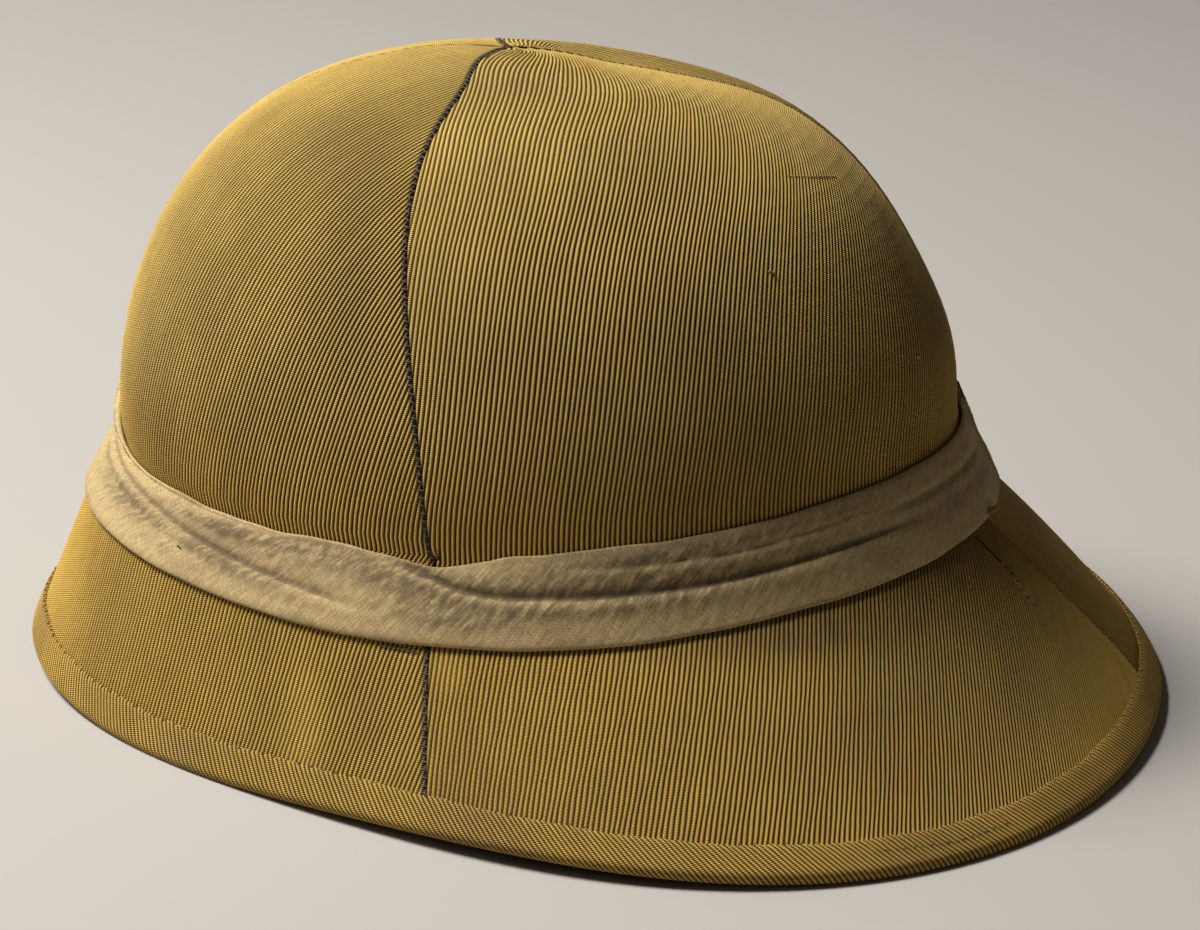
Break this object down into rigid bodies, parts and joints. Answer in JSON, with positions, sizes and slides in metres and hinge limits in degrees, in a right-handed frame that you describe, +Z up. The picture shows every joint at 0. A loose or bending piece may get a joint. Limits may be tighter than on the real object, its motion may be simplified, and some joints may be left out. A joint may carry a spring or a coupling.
{
  "type": "pith helmet",
  "caption": "Sun helmet with a rounded crown, a short steep front brim, a long flared back brim, a folded cotton hatband and a bound edge.",
  "frame": {"origin": "middle of the hat's length and width, on the surface that the edge of the brim rests on", "axes": "+Z up, -Y towards the front of the hat, +X towards the wearer's left"},
  "size_m": [0.295, 0.3204, 0.175],
  "materials": {
    "pith": "matt, smooth moulded pith",
    "khaki_cord": "worn khaki whipcord with raised ribs",
    "band_cotton": "plain-weave cotton, creased and soiled",
    "khaki_binding": "worn khaki whipcord cut on the slant"
  },
  "bodies": {
    "root": {"shell": "pith", "crown_panel_back_left": "khaki_cord", "crown_panel_back_right": "khaki_cord", "crown_panel_front_right": "khaki_cord", "crown_panel_front_left": "khaki_cord", "brim_panel_back_left": "khaki_cord", "brim_panel_back_right": "khaki_cord", "brim_panel_front_right": "khaki_cord", "brim_panel_front_left": "khaki_cord", "puggaree": "band_cotton", "edge_binding": "khaki_binding"}
  },
  "joints": []
}
